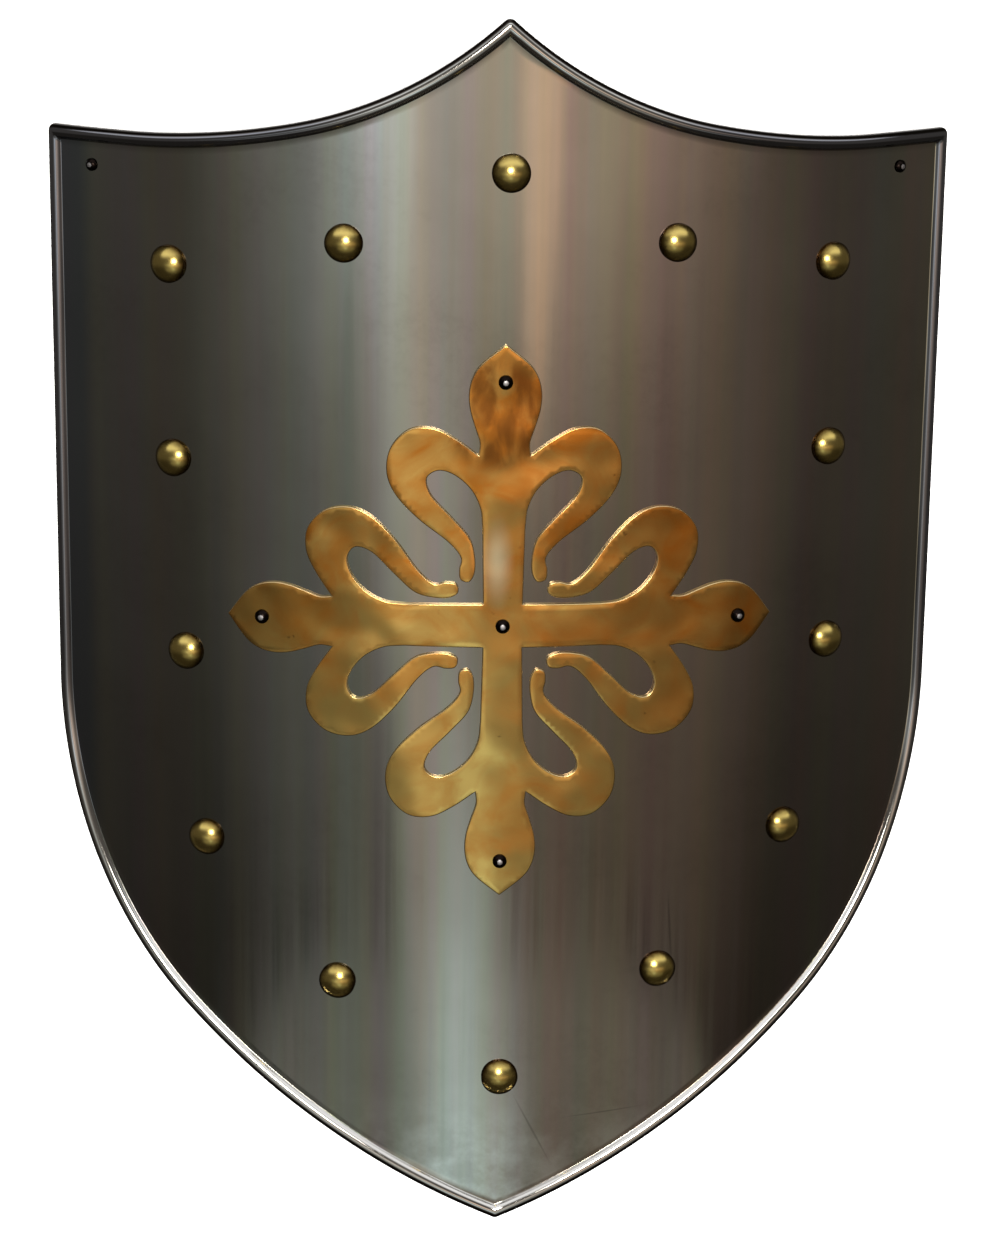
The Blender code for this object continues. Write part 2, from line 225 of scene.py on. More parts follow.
runs = outline_runs()
tangents, normals = zip(*[outward(run) for run in runs])
loop = np.concatenate([run[:-1] for run in runs])
leaving = np.concatenate([normal[:-1] for normal in normals])
arriving = leaving.copy()
run_start = np.cumsum([0] + [len(run) - 1 for run in runs[:-1]])
for start, before in zip(run_start, normals[-1:] + normals[:-1]):
    arriving[start] = before[-1]
turn_in = np.arctan2(arriving[:, 1], arriving[:, 0])
turn_by = np.arctan2(leaving[:, 1], leaving[:, 0]) - turn_in
turn_by = (turn_by + math.pi) % (2.0 * math.pi) - math.pi
sharp = turn_by > SHARP_TURN
print("outline points:", len(loop), "sharp corners:", int(sharp.sum()))

# %% [markdown]
# Inside a sharp corner, lines drawn square to the edge would cross each other.  So they are slid along
# the edge, away from the corner: by the full mitre at the corner itself, and less and less over the
# next forty millimetres.  They keep their distance to the edge, and none of them cross.

# %% Inward ways that never cross
SLIDE_LENGTH = 40.0 * MM


def inside_ways():
    """Per outline point, the square direction less the slide along the edge."""
    ways = []
    corner_turns = np.tan(0.5 * np.append(turn_by[run_start], turn_by[0]))
    for number, (run, tangent, normal) in enumerate(zip(runs, tangents, normals)):
        stride = np.linalg.norm(np.diff(run, axis=0, prepend=run[:1]), axis=1)
        gone = np.cumsum(stride)
        near_start = np.clip(1.0 - gone / SLIDE_LENGTH, 0.0, 1.0)
        near_end = np.clip(1.0 - (gone[-1] - gone) / SLIDE_LENGTH, 0.0, 1.0)
        slide = corner_turns[number + 1] * near_end - corner_turns[number] * near_start
        ways.append((normal + slide[:, None] * tangent)[:-1])
    return np.concatenate(ways)


mitre = inside_ways()

# %% [markdown]
# The rolled edge: the smith bends the margin of the sheet round a wire and hammers it down behind,
# so the front shows a round bead with a soft hollow beside it, and the back shows where the cut edge
# was tucked in.  Its section is a profile of (outwards, height) pairs: flat sheet, a hollow fillet,
# most of a circle, a small notch, and flat sheet again.  That profile is carried round the outline.

# %% Section of the rolled edge
BAND = 9.0 * MM
FILLET = 0.6 * MM
NOTCH = 0.5 * MM
HALF_SHEET = 0.5 * SHEET_THICK
FILLET_POINTS = 6
BEAD_POINTS = 27
TUCK_TURN = math.radians(-164.0)


def rim_section():
    """Points (outwards, height) and their angle round the bead, front to back."""
    centre_out = -math.sqrt((BEAD_RADIUS + FILLET) ** 2 - (HALF_SHEET + FILLET) ** 2)
    meet = math.atan2(HALF_SHEET + FILLET, centre_out)
    fillet_turn = np.linspace(-0.5 * math.pi, meet - math.pi, FILLET_POINTS)
    hollow = np.stack([centre_out + FILLET * np.cos(fillet_turn),
                       HALF_SHEET + FILLET + FILLET * np.sin(fillet_turn)], axis=-1)
    bead_turn = np.linspace(meet, TUCK_TURN, BEAD_POINTS)
    bead = BEAD_RADIUS * np.stack([np.cos(bead_turn), np.sin(bead_turn)], axis=-1)
    front = np.array([[-BAND, HALF_SHEET], [-0.8 * BAND, HALF_SHEET]])
    tuck = BEAD_RADIUS + NOTCH
    back = np.array([[-BEAD_RADIUS, -HALF_SHEET], [-tuck, -HALF_SHEET], [-BAND, -HALF_SHEET]])
    section = np.concatenate([front, hollow[:-1], bead, back])
    bead_start = len(front) + FILLET_POINTS - 1
    angle = np.full(len(section), math.pi)
    angle[bead_start:bead_start + BEAD_POINTS] = bead_turn
    angle[bead_start + BEAD_POINTS:] = -math.pi
    return section, angle


section, section_angle = rim_section()
print("points round the rolled edge's section:", len(section))

# %% [markdown]
# Stations are the places where the section is set down: one for each outline point and nine at each
# sharp corner.  Points outside the path's line fan out, and points inside it share one mitre, so the
# inner margin stays a clean line that the sheet can join.  Two slow waves take the bead's size from 97
# to 100 percent, as a hammer leaves it.

# %% Carry the section round
BEAD_MEAN = 0.985
LONG_SWELL = 0.008
SHORT_SWELL = 0.007

counts = np.where(sharp, FAN_STEPS + 1, 1)
station = np.repeat(np.arange(len(loop)), counts)
first = np.repeat(np.cumsum(counts) - counts, counts)
fan = (np.arange(len(station)) - first) / np.maximum(counts[station] - 1, 1)
angle_out = turn_in[station] + fan * turn_by[station]
fan_out = np.stack([np.cos(angle_out), np.sin(angle_out)], axis=-1)
stride = np.linalg.norm(np.diff(loop[station], axis=0, prepend=loop[station][:1]), axis=1)
travel = np.cumsum(stride)
swell = BEAD_MEAN + LONG_SWELL * np.sin(travel / (31.0 * MM))
swell = swell + SHORT_SWELL * np.sin(travel / (13.0 * MM) + 1.0)


def carry_section(section):
    """Outline point plus the outward distance along the fan, or along the mitre when inside."""
    out = section[None, :, 0] * np.ones((len(station), 1))
    height = section[None, :, 1] * np.ones((len(station), 1))
    on_bead = (np.hypot(section[:, 0], section[:, 1]) <= 1.001 * BEAD_RADIUS)[None, :]
    grow = np.where(on_bead, swell[:, None], 1.0)
    way = np.where((out > 0.0)[..., None], fan_out[:, None, :], mitre[station][:, None, :])
    flat = loop[station][:, None, :] + (out * grow)[..., None] * way
    return flat, height * grow


rim_flat, rim_height = carry_section(section)
rim_points = bend(rim_flat[..., 0], rim_flat[..., 1], rim_height)
rim_points = np.concatenate([rim_points, rim_points[:1]])
rim_points[..., 2] = np.maximum(rim_points[..., 2], 0.0)
rim_angle = np.tile(section_angle, (len(rim_points), 1))

# %% [markdown]
# The sheet inside the rim is a patch between four curves: the inner margins of the bottom, the right
# side, the top and the left side.  A Coons patch blends them: straight lines from bottom to top, plus
# straight lines from side to side, less the part that both count.  It is made twice, for the front and
# the back, and the back is turned over so that its faces look outwards.

# %% Fill the sheet
inner = loop - BAND * mitre
inner_low = inner[:COLUMNS + 1]
inner_right = inner[COLUMNS:COLUMNS + ROWS + 1]
inner_high = inner[COLUMNS + ROWS:2 * COLUMNS + ROWS + 1][::-1]
inner_left = np.concatenate([inner[2 * COLUMNS + ROWS:], inner[:1]])[::-1]


def coons_patch(low, high, left, right):
    """Points between four edge curves; low and high run left to right, the others upwards."""
    s = np.linspace(0.0, 1.0, len(low))[None, :, None]
    t = np.linspace(0.0, 1.0, len(left))[:, None, None]
    up = (1.0 - t) * low[None] + t * high[None]
    over = (1.0 - s) * left[:, None] + s * right[:, None]
    corners = (1.0 - t) * ((1.0 - s) * low[0] + s * low[-1])
    corners = corners + t * ((1.0 - s) * high[0] + s * high[-1])
    return up + over - corners


sheet = coons_patch(inner_low, inner_high, inner_left, inner_right)
front_points = bend(sheet[..., 0], sheet[..., 1], HALF_SHEET)
back_points = bend(sheet[..., 0], sheet[..., 1], -HALF_SHEET)
sheet_faces = grid_faces(*sheet.shape[:2])
rim_faces = grid_faces(*rim_points.shape[:2])[:, ::-1]
flat_front = np.full(front_points.shape[:2], math.pi)
plate = make_piece("steel_sheet", [
    (front_points, sheet_faces, flat_front),
    (back_points, sheet_faces[:, ::-1], -flat_front),
    (rim_points, rim_faces, rim_angle),
], ["roll_angle"])
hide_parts("shield_plate")
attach(plate, "root")

# %% [markdown]
# The cross was sawn from sheet brass, its edges filed round, and then it was bent to the shield.
# Its outline is one half arm, mirrored and turned four times.  A smooth curve runs through a few
# knots: first the curled hook that springs from the arm, then the petal at the arm's end.

# %% Outline of the brass cross
CROSS_THICK = 1.5 * MM
CROSS_WIDE = 0.988
CROSS_TALL = 1.013
UPRIGHT_HALF = 10.0
CROSSBAR_HALF = 11.2
LOOP_KNOTS = (
    (50.0, 10.8), (60.0, 12.0), (69.5, 16.8), (76.5, 25.0), (78.6, 33.0), (74.5, 38.7),
    (66.0, 36.3), (55.0, 26.0), (45.0, 17.2), (36.0, 14.4), (27.5, 14.3), (22.6, 17.0),
    (23.6, 21.4), (28.5, 22.2), (35.0, 21.5), (43.0, 28.2), (54.0, 42.8), (66.0, 54.4),
    (77.5, 59.0), (90.0, 56.8), (99.0, 47.5), (99.8, 35.5), (94.5, 24.3), (86.6, 13.0),
)
PETAL_KNOTS = (
    (86.6, 13.0), (93.0, 12.6), (101.0, 15.2), (109.0, 17.5), (117.0, 18.2),
    (125.0, 16.5), (132.0, 11.8), (141.4, 0.0),
)
KNOT_STEPS = 8
ROOT_SPACING = 1.5

# %% [markdown]
# A cubic curve runs through the knots, and its slope at each knot comes from the knots beside it.  The
# half arm is mirrored for the arm's other side, and the whole arm is turned by quarters.

# %% Draw the outline through the knots
def smooth_run(knots, steps):
    """Catmull-Rom curve: each piece is a cubic between two knots, its slopes set by their neighbours."""
    place = np.array(knots)
    place = np.concatenate([2 * place[:1] - place[1:2], place, 2 * place[-1:] - place[-2:-1]])
    before, start, end, after = place[:-3], place[1:-2], place[2:-1], place[3:]
    t = (np.arange(steps) / steps)[None, :, None]
    pull = 0.5 * (end - before)[:, None]
    push = 0.5 * (after - start)[:, None]
    curve = (2 * t ** 3 - 3 * t ** 2 + 1) * start[:, None] + (t ** 3 - 2 * t ** 2 + t) * pull
    curve = curve + (3 * t ** 2 - 2 * t ** 3) * end[:, None] + (t ** 3 - t ** 2) * push
    return curve.reshape(-1, 2)


def straight_run(start, end, spacing):
    """Even points from start to end, the end left out."""
    count = max(int(np.hypot(*np.subtract(end, start)) / spacing), 1)
    share = (np.arange(count) / count)[:, None]
    return (1.0 - share) * np.array(start) + share * np.array(end)


def cross_outline():
    """Clockwise outline in millimetres on the flat sheet, as (across, along) points."""
    half_arm = np.concatenate([smooth_run(LOOP_KNOTS, KNOT_STEPS), smooth_run(PETAL_KNOTS, KNOT_STEPS)])
    arms = []
    for quarter in range(4):
        upright = quarter % 2 == 0
        arm_half = UPRIGHT_HALF if upright else CROSSBAR_HALF
        root = (CROSSBAR_HALF if upright else UPRIGHT_HALF, arm_half)
        right_side = np.concatenate([straight_run(root, LOOP_KNOTS[0], ROOT_SPACING), half_arm])
        left_side = right_side[1:] * (1.0, -1.0)
        tip = np.array([PETAL_KNOTS[-1]])
        arm = np.concatenate([left_side, tip, right_side[::-1]])
        turn = -0.5 * math.pi * quarter
        x = arm[:, 1] * math.cos(turn) - arm[:, 0] * math.sin(turn)
        y = arm[:, 1] * math.sin(turn) + arm[:, 0] * math.cos(turn)
        arms.append(np.stack([CROSS_WIDE * x, CROSS_TALL * y], axis=-1))
    return np.concatenate(arms)


outline = cross_outline()
print("points round the cross:", len(outline))

# %% [markdown]
# The filed edge is a quarter of an ellipse, carried round the outline.  The flat of the cross can't
# be a grid, because its outline is too lively, so its inside is filled with a net of even points and
# the gaps are closed with triangles.  The even points let the brass follow the bend of the shield.

# %% Edge and face of the cross
EDGE_ROUND = 0.6
EDGE_DEPTH = 0.6
SAWN_HEIGHT = 0.5
MITRE_LIMIT = 0.45
NET_REACH = 150.0
NET_SPACING = 2.5
NET_MARGIN = 0.45 * NET_SPACING
FIT_GAP = 0.3 * MM
ON_SHEET = HALF_SHEET + FIT_GAP


def inward_mitre(points):
    """Directions into a clockwise outline that keep an even margin on both neighbouring edges."""
    ahead = np.roll(points, -1, axis=0) - points
    ahead /= np.linalg.norm(ahead, axis=1, keepdims=True)
    right = np.stack([ahead[:, 1], -ahead[:, 0]], axis=-1)
    both = right + np.roll(right, 1, axis=0)
    share = 1.0 + np.sum(right * np.roll(right, 1, axis=0), axis=1, keepdims=True)
    return both / np.maximum(share, MITRE_LIMIT)


def inside_outline(points, outline):
    """True where a line to the right of a point crosses the outline an odd number of times."""
    x, y = points[:, :1], points[:, 1:]
    ax, ay = outline[None, :, 0], outline[None, :, 1]
    bx, by = np.roll(ax, -1, axis=1), np.roll(ay, -1, axis=1)
    spans = (ay > y) != (by > y)
    rise = np.where(by == ay, 1e-9, by - ay)
    return np.sum(spans & (x < ax + (y - ay) * (bx - ax) / rise), axis=1) % 2 == 1


def net_faces(outline):
    """Even points inside the outline, and the triangles that join them to it."""
    reach = np.arange(-NET_REACH, NET_REACH, NET_SPACING)
    net = np.stack(np.meshgrid(reach, reach), axis=-1).reshape(-1, 2)
    net = net[inside_outline(net, outline)]
    gap = np.min(np.linalg.norm(net[:, None] - outline[None], axis=-1), axis=1)
    net = net[gap > NET_MARGIN]
    places = [Vector(point) for point in np.concatenate([outline, net])]
    ring = list(range(len(outline)))
    made = geometry.delaunay_2d_cdt(places, [], [ring], 1, 1e-5)
    return np.array([point[:] for point in made[0]]), np.array(made[2])


# %% [markdown]
# Now the edge is swept round the outline and both faces are filled.  The upper face starts where the
# filed edge ends, and the under face reaches out to the outline itself.

# %% Sweep the edge and fill the faces
mitre_in = inward_mitre(outline)
quarter = np.linspace(0.0, 0.5 * math.pi, 5)
edge_in = np.concatenate([[0.0, 0.0], EDGE_ROUND * (1.0 - np.cos(quarter))])
edge_up = np.concatenate([[0.0, SAWN_HEIGHT], CROSS_THICK / MM - EDGE_DEPTH * (1.0 - np.sin(quarter))])
edge_flat = outline[:, None] + edge_in[None, :, None] * mitre_in[:, None]
edge_flat = np.concatenate([edge_flat, edge_flat[:1]])
edge_height = ON_SHEET + edge_up[None] * MM * np.ones((len(edge_flat), 1))
edge_points = bend(edge_flat[..., 0] * MM, edge_flat[..., 1] * MM, edge_height)
edge_share = np.linspace(1.0, 0.0, len(edge_in))[None] * np.ones((len(edge_flat), 1))

face_flat, face_triangles = net_faces(edge_flat[:-1, -1])
face_points = bend(face_flat[:, 0] * MM, face_flat[:, 1] * MM, ON_SHEET + CROSS_THICK)
under_flat, under_triangles = net_faces(outline)
under_points = bend(under_flat[:, 0] * MM, under_flat[:, 1] * MM, ON_SHEET)

# %% [markdown]
# The upper face, the under face and the filed edge meet in the same points, so joining those points
# closes the piece.  Pieces that touch keep a gap of 0.3 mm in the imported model, and so does the brass
# over the steel here.

# %% Join the cross
def facing(points, triangles, height_sign):
    """Turn each triangle so that its normal points up, or down for a negative sign."""
    a, b, c = (points[triangles[:, i]] for i in range(3))
    up = np.cross(b - a, c - a)[:, 2] * height_sign
    return np.where((up > 0.0)[:, None], triangles, triangles[:, ::-1])


edge_quads = grid_faces(*edge_points.shape[:2])
cross = make_piece("brass_cross_face", [
    (face_points, facing(face_points, face_triangles, 1.0), np.zeros(len(face_points))),
    (under_points, facing(under_points, under_triangles, -1.0), np.ones(len(under_points))),
    (edge_points, edge_quads, edge_share),
], ["filed_edge"])
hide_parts("brass_cross")
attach(cross, "root")

# %% [markdown]
# Nails and rivets are turned shapes: a half section spun round an axis.  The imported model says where
# each one sits, because the middle of its points lies on its axis.  From there the same bend that
# made the sheet gives the place and the lean.

# %% Spin a half section
def seat_of(node):
    """Across and along of a fastener, from the middle of its packed points."""
    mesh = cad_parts[node].data
    points = np.zeros(3 * len(mesh.vertices))
    mesh.vertices.foreach_get("co", points)
    x, y, z = points.reshape(-1, 3).mean(axis=0)
    return SHEET_RADIUS * math.atan2(x, z - CROWN_HEIGHT + SHEET_RADIUS), y - LENGTH_SHIFT


def spin(section, sides):
    """Points of a half section (radius, height) turned in equal steps, the first step repeated."""
    turn = np.linspace(0.0, 2.0 * math.pi, sides + 1)[:, None]
    x = section[None, :, 0] * np.cos(turn)
    y = section[None, :, 0] * np.sin(turn)
    return np.stack(np.broadcast_arrays(x, y, section[None, :, 1]), axis=-1)


def seat(points, across, along, height, lean=(0.0, 0.0), turn=0.0):
    """Stand spun points on the sheet: turn them, lean them a little, then follow the curve."""
    tilt = Matrix.Rotation(across / SHEET_RADIUS, 3, 'Y')
    tilt = tilt @ Matrix.Rotation(lean[0], 3, 'X') @ Matrix.Rotation(lean[1], 3, 'Y')
    tilt = np.array(tilt @ Matrix.Rotation(turn, 3, 'Z'))
    return points @ tilt.T + bend(np.float64(across), np.float64(along), height)


def arc(start, end, middle, radius_x, radius_y, count):
    """Part of an ellipse round a middle, between two angles in degrees."""
    turn = np.radians(np.linspace(start, end, count))
    return np.stack([middle[0] + radius_x * np.cos(turn), middle[1] + radius_y * np.sin(turn)], axis=-1)


# %% [markdown]
# The nails have pressed heads of brass: a dome whose rim is turned down to bite on the steel.  A dark
# brown ring round the foot is painted shade with some dirt.  The distance from the axis is kept on
# each point, so the material knows where that ring is.

# %% Domed brass nails
NAIL_RADIUS = 9.5
NAIL_HEIGHT = 5.6
NAIL_LIP = 0.8
NAIL_SHANK = 1.8
TAIL_RADIUS = 3.0
TAIL_HEIGHT = 1.4
NAIL_SIDES = 48
NAIL_LEAN = 0.02
TURN_RANGE = 6.0
DOME_POINTS = 15
LIP_TURNED_IN = 0.15
GAP = FIT_GAP / MM


def tail_section(shank, grip):
    """The peened end behind the sheet: a low mushroom, down to a rounded middle."""
    crown = arc(0.0, -80.0, (0.45 * TAIL_RADIUS, -grip - 0.3), 0.55 * TAIL_RADIUS, TAIL_HEIGHT - 0.3, 6)
    return np.concatenate([[[shank, -grip], [TAIL_RADIUS, -grip]], crown, [[0.0, -grip - TAIL_HEIGHT]]])


def nail_section(radius, height, lip, shank, grip):
    """Half section of a domed head: part of a ball, a rounded lip, the shank and the peened tail."""
    cap = height - lip
    ball = (radius ** 2 + cap ** 2) / (2.0 * cap)
    spread = math.degrees(math.acos((ball - cap) / ball))
    dome = arc(90.0, 90.0 - spread, (0.0, height - ball), ball, ball, DOME_POINTS)
    foot = np.array([[radius - LIP_TURNED_IN, 0.35 * lip], [radius - 0.5, 0.0], [shank, 0.0]])
    return np.concatenate([dome, foot, tail_section(shank, grip)]) * MM


def make_fastener(name, node, section, sides, height, lean, turn):
    """Spin a section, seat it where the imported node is, and let it stand for that node."""
    across, along = seat_of(node)
    shape = spin(section, sides)
    radius = np.hypot(shape[..., 0], shape[..., 1])
    edge = np.where(shape[..., 2] >= 0.0, radius / np.max(section[:, 0]), 1.0)
    points = seat(shape, across, along, height, lean, turn)
    piece = make_piece(name, [(points, grid_faces(*points.shape[:2]), edge)], ["edge"])
    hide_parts(node)
    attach(piece, "root")
    return piece


hand = np.random.default_rng(7)
nail_grip = SHEET_THICK / MM + 2.0 * GAP
nail_shape = nail_section(NAIL_RADIUS, NAIL_HEIGHT, NAIL_LIP, NAIL_SHANK, nail_grip)
nails = []
for node in sorted(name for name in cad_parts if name.startswith("nail_")):
    lean = hand.uniform(-NAIL_LEAN, NAIL_LEAN, 2)
    nails.append(make_fastener("domed_" + node, node, nail_shape, NAIL_SIDES, ON_SHEET,
                               lean, hand.uniform(0.0, TURN_RANGE)))

# %% [markdown]
# The rivets are small and black: steel, blackened over a fire and oiled.  Five hold the cross, so they
# stand on the brass, and two sit in the top corners on the bare sheet.

# %% Black rivets
CROSS_RIVET = (3.6, 2.5)
CORNER_RIVET = (3.2, 2.2)
RIVET_LIP = 0.4
RIVET_SHANK = 1.5
RIVET_SIDES = 36
RIVET_LEAN = 0.03
ON_CROSS = ON_SHEET + CROSS_THICK + FIT_GAP

rivets = []
for node in sorted(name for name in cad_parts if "_rivet_" in name):
    on_cross = node.startswith("cross")
    radius, height = CROSS_RIVET if on_cross else CORNER_RIVET
    grip = SHEET_THICK / MM + (3.0 * GAP + CROSS_THICK / MM if on_cross else 2.0 * GAP)
    shape = nail_section(radius, height, RIVET_LIP, RIVET_SHANK, grip)
    lean = hand.uniform(-RIVET_LEAN, RIVET_LEAN, 2)
    rivets.append(make_fastener("black_" + node, node, shape, RIVET_SIDES,
                                ON_CROSS if on_cross else ON_SHEET, lean, 0.0))

# %% [markdown]
# Colours are chosen as the hex values a screen shows.  A renderer counts light, not screen values,
# so one function turns them to linear light.  A second small function adds a node with its settings
# and its links; every material below is built with it.

# %% Colour and node helpers
def hex_colour(text):
    """Screen value to linear light: a straight part near black, then a power of 2.4."""
    screen = np.array([int(text[i:i + 2], 16) for i in (1, 3, 5)]) / 255.0
    light = np.where(screen <= 0.04045, screen / 12.92, ((screen + 0.055) / 1.055) ** 2.4)
    return (*light.tolist(), 1.0)


def add_node(tree, kind, inputs=None, **settings):
    """One node: settings are its properties, inputs are values or other nodes' outputs."""
    node = tree.nodes.new(kind)
    for key, value in settings.items():
        setattr(node, key, value)
    for key, value in (inputs or {}).items():
        if isinstance(value, bpy.types.NodeSocket):
            tree.links.new(value, node.inputs[key])
        else:
            node.inputs[key].default_value = value
    return node


def start_material(name):
    """A new material with its shader, and the object's own coordinates."""
    material = bpy.data.materials.new(name)
    material.use_nodes = True
    tree = material.node_tree
    shader = tree.nodes["Principled BSDF"]
    place = add_node(tree, 'ShaderNodeTexCoord').outputs["Object"]
    return material, tree, shader, place


def reach_of_ellipse(tree, place, middle, turn, wide, long):
    """How far a place is from the middle of a turned ellipse, where its line is at one."""
    inside = add_node(tree, 'ShaderNodeMapping', {
        "Vector": place, "Location": middle, "Rotation": (0.0, 0.0, math.radians(turn)),
        "Scale": (wide, long, 1.0)}, vector_type='TEXTURE')
    reach = add_node(tree, 'ShaderNodeVectorMath', {0: inside.outputs[0]}, operation='LENGTH')
    return reach.outputs["Value"]


def cover(tree, below, above, value, start, end, most=1.0, kind='SMOOTHSTEP'):
    """One colour over another: not at all where the value is start, by the share most where it is end."""
    share = add_node(tree, 'ShaderNodeMapRange', {
        "Value": value, "From Min": start, "From Max": end, "To Max": most}, interpolation_type=kind)
    return add_node(tree, 'ShaderNodeMix', {
        "Factor": share.outputs[0], 6: below, 7: above}, data_type='RGBA').outputs[2]


def dress(pieces, material):
    """Give every piece this material and no other."""
    for piece in pieces:
        piece.data.materials.clear()
        piece.data.materials.append(material)


# %% [markdown]
# Mild steel sheet, cold rolled and then polished along its length.  It is a metal, so its colour is
# the colour of its reflections.  Oil and old polish leave it darker than fresh steel.  A little brown
# on one side and grey-green on the other is partly its own tone and partly painted reflection.
# The belt leaves streaks along the sheet, too fine to count: they are drawn about 4 mm apart, as
# coarse as they need to be to show at this size.
# Use has added faint freckles and three hairline scratches.  The sheet is tinted blue beside the left
# rim, and pale blotches near the point are painted reflection.

# %% Polished steel
STREAK_ACROSS = 4.0 * MM
STREAK_ALONG = 300.0 * MM
CLOUD_SIZE = 90.0 * MM
FRECKLE_SIZE = 5.0 * MM
BLOTCH_SIZE = 17.0 * MM
# Middle across and along, turn in degrees, half length and half width of each scratch, in millimetres.
SCRATCHES = (
    (18.7, -263.0, -63.0, 24.0, 0.7),
    (89.3, -157.0, -86.0, 26.0, 0.8),
    (56.0, -255.0, 5.0, 24.0, 0.5),
)

steel, tree, shader, place = start_material("polished_mild_steel")
streak_place = add_node(tree, 'ShaderNodeMapping', {
    "Vector": place, "Scale": (1.0 / STREAK_ACROSS, 1.0 / STREAK_ALONG, 0.0)})
streaks = add_node(tree, 'ShaderNodeTexNoise', {
    "Vector": streak_place.outputs[0], "Scale": 1.0, "Detail": 3.0, "Roughness": 0.6})
clouds = add_node(tree, 'ShaderNodeTexNoise', {
    "Vector": place, "Scale": 1.0 / CLOUD_SIZE, "Detail": 4.0, "Roughness": 0.6})
sides = add_node(tree, 'ShaderNodeSeparateXYZ', {"Vector": place}).outputs
# Brown towards the right and grey-green towards the left: partly the steel's tone, partly painted
# reflection.
aged_and_painted_reflection = cover(tree, hex_colour("#b1b1ab"), hex_colour("#b5ada3"), sides["X"], -90.0 * MM, 120.0 * MM)
aged_and_painted_reflection = cover(tree, aged_and_painted_reflection, hex_colour("#8f8a80"), clouds.outputs[0], 0.35, 0.7, 0.3, 'LINEAR')
tints = add_node(tree, 'ShaderNodeTexNoise', {
    "Vector": streak_place.outputs[0], "Scale": 0.22, "Detail": 3.0, "Roughness": 0.6})
aged_and_painted_reflection = add_node(tree, 'ShaderNodeMix', {
    "Factor": 0.22, 6: aged_and_painted_reflection, 7: tints.outputs["Color"]}, data_type='RGBA', blend_type='OVERLAY').outputs[2]
freckles = add_node(tree, 'ShaderNodeTexNoise', {
    "Vector": place, "Scale": 1.0 / FRECKLE_SIZE, "Detail": 4.0, "Roughness": 0.7}).outputs[0]
freckled = add_node(tree, 'ShaderNodeMath', {0: clouds.outputs[0], 1: freckles}, operation='MULTIPLY')
aged_and_painted_reflection = cover(tree, aged_and_painted_reflection, hex_colour("#5f5850"), freckled.outputs[0], 0.29, 0.42, 0.07, 'LINEAR')
# Pale blotches near the point: painted reflection, a lighter colour where the sheet seems to mirror pale
# light.
blotches = add_node(tree, 'ShaderNodeTexNoise', {
    "Vector": place, "Scale": 1.0 / BLOTCH_SIZE, "Detail": 4.0, "Roughness": 0.55})
near_point = add_node(tree, 'ShaderNodeMapRange', {
    "Value": sides["Y"], "From Min": -235.0 * MM, "From Max": -290.0 * MM, "To Max": 0.5},
    interpolation_type='SMOOTHSTEP')
blotch_share = add_node(tree, 'ShaderNodeMapRange', {
    "Value": blotches.outputs[0], "From Min": 0.40, "From Max": 0.68})
painted_reflection_blotches = add_node(tree, 'ShaderNodeMath', {
    0: near_point.outputs[0], 1: blotch_share.outputs[0]}, operation='MULTIPLY')
aged_and_painted_reflection = cover(tree, aged_and_painted_reflection, hex_colour("#e4e8e4"), painted_reflection_blotches.outputs[0], 0.0, 1.0, kind='LINEAR')
aged_and_painted_reflection = cover(tree, aged_and_painted_reflection, hex_colour("#74869a"), sides["X"], -200.0 * MM, -212.0 * MM, 0.6)
for middle_x, middle_y, turn, half_long, half_wide in SCRATCHES:
    middle = (middle_x * MM, middle_y * MM, CROWN_HEIGHT)
    reach = reach_of_ellipse(tree, place, middle, turn, half_long * MM, half_wide * MM)
    aged_and_painted_reflection = cover(tree, aged_and_painted_reflection, hex_colour("#3a3632"), reach, 1.0, 0.4, 0.30, 'LINEAR')

# %% [markdown]
# Hands and cloths rub the rolled edge bright, most of all low down and at the peak, and there it is
# also painted lighter as painted highlight.  Its outer side is painted dark: painted shade.
# The roll angle kept on each point says which side of the bead it is on.

# %% The rolled edge's wear, painted highlight and painted shade
low_rim = add_node(tree, 'ShaderNodeMapRange', {
    "Value": sides["Y"], "From Min": 0.0, "From Max": -140.0 * MM}, interpolation_type='SMOOTHSTEP')
from_middle = add_node(tree, 'ShaderNodeMath', {0: sides["X"]}, operation='ABSOLUTE')
near_points = add_node(tree, 'ShaderNodeMapRange', {
    "Value": from_middle.outputs[0], "From Min": 110.0 * MM, "From Max": 50.0 * MM},
    interpolation_type='SMOOTHSTEP')
# Lighter rim low down and at the peak: partly rubbed wear, partly painted highlight.
rubbed_and_highlight_share = add_node(tree, 'ShaderNodeMath', {
    0: low_rim.outputs[0], 1: near_points.outputs[0]}, operation='MAXIMUM')
rim_colour = cover(tree, hex_colour("#9b9da6"), hex_colour("#dcdbd9"), rubbed_and_highlight_share.outputs[0],
                   0.0, 1.0, kind='LINEAR')
roll = add_node(tree, 'ShaderNodeAttribute', attribute_name="roll_angle").outputs["Fac"]
